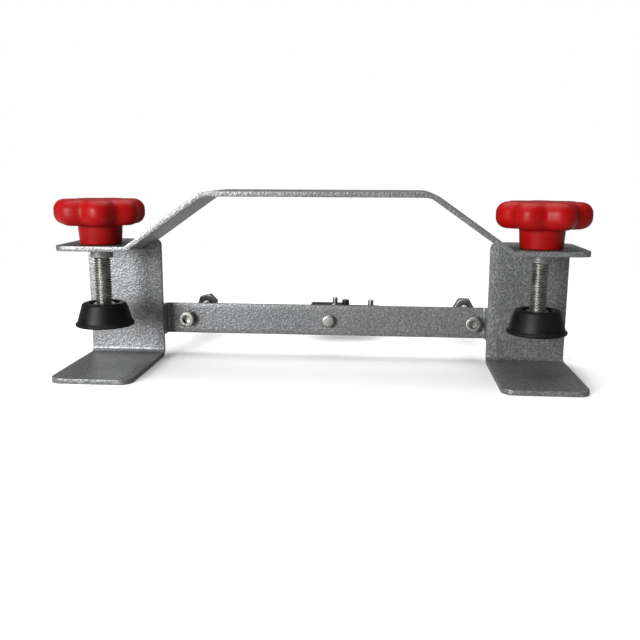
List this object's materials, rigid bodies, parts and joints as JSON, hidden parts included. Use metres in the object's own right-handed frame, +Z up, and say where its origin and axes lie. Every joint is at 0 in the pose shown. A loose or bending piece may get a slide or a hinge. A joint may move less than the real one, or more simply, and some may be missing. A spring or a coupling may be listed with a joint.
{
  "type": "clamp-on circuit board holder",
  "caption": "Bent steel board holder with two C-clamps, star-knob clamp screws with swivelling rubber pads, a bridge handle and a rear cross bar with guide screws.",
  "frame": {"origin": "middle of the footprint at the height of the lips' undersides, which the holder stands on", "axes": "+X to the right along the bridge, +Y away from the clamp mouths towards the guide screws, +Z up"},
  "size_m": [0.3131, 0.149, 0.11],
  "materials": {
    "hammertone_paint": "silver-grey hammertone enamel with fine speckle, semi-gloss",
    "weld_paint": "painted-over weld bead, satin",
    "zinc_plate": "bright zinc plating with a faint yellow cast",
    "black_steel": "black oxide, satin",
    "red_plastic": "glossy red thermoplastic",
    "brass": "machined",
    "black_rubber": "satin moulded rubber",
    "black_nylon": "moulded nylon"
  },
  "bodies": {
    "frame": {"bridge_strip": "hammertone_paint", "left_bracket": "hammertone_paint", "right_bracket": "hammertone_paint", "flange_welds": "weld_paint", "cross_bar": "hammertone_paint", "left_thread_bush": "hammertone_paint", "right_thread_bush": "hammertone_paint", "guide_screws": "zinc_plate", "guide_nuts": "zinc_plate", "centre_screw": "zinc_plate", "support_block": "black_steel", "block_screw": "black_steel", "locating_peg": "zinc_plate", "keeper_peg": "zinc_plate"},
    "left_washer": {"left_thrust_washer": "zinc_plate"},
    "left_screw": {"left_spindle": "zinc_plate", "left_knob": "red_plastic", "left_knob_insert": "brass"},
    "left_pad": {"left_swivel_cup": "black_nylon", "left_rubber_pad": "black_rubber"},
    "right_washer": {"right_thrust_washer": "zinc_plate"},
    "right_screw": {"right_spindle": "zinc_plate", "right_knob": "red_plastic", "right_knob_insert": "brass"},
    "right_pad": {"right_swivel_cup": "black_nylon", "right_rubber_pad": "black_rubber"}
  },
  "joints": [
    {"name": "left_travel", "type": "slide", "parent": "frame", "child": "left_washer", "axis": [0, 0, 1], "range_m": [0, 0.02701]},
    {"name": "left_turn", "type": "hinge", "parent": "left_washer", "child": "left_screw", "pos_m": [-0.13075, -0.0405, 0.037], "axis": [0, 0, 1], "range_deg": [0, 6480]},
    {"name": "left_tilt", "type": "hinge", "parent": "left_washer", "child": "left_pad", "pos_m": [-0.13075, -0.0405, 0.037], "axis": [1, 0, 0], "range_deg": [-4, 4]},
    {"name": "right_travel", "type": "slide", "parent": "frame", "child": "right_washer", "axis": [0, 0, 1], "range_m": [0, 0.02701]},
    {"name": "right_turn", "type": "hinge", "parent": "right_washer", "child": "right_screw", "pos_m": [0.12875, -0.0405, 0.037], "axis": [0, 0, 1], "range_deg": [0, 6480]},
    {"name": "right_tilt", "type": "hinge", "parent": "right_washer", "child": "right_pad", "pos_m": [0.12875, -0.0405, 0.037], "axis": [1, 0, 0], "range_deg": [-4, 4]}
  ],
  "couplings": [
    {"joint": "left_travel", "follows": "left_turn", "m_per_rad": 0.00023873},
    {"joint": "right_travel", "follows": "right_turn", "m_per_rad": 0.00023873}
  ]
}
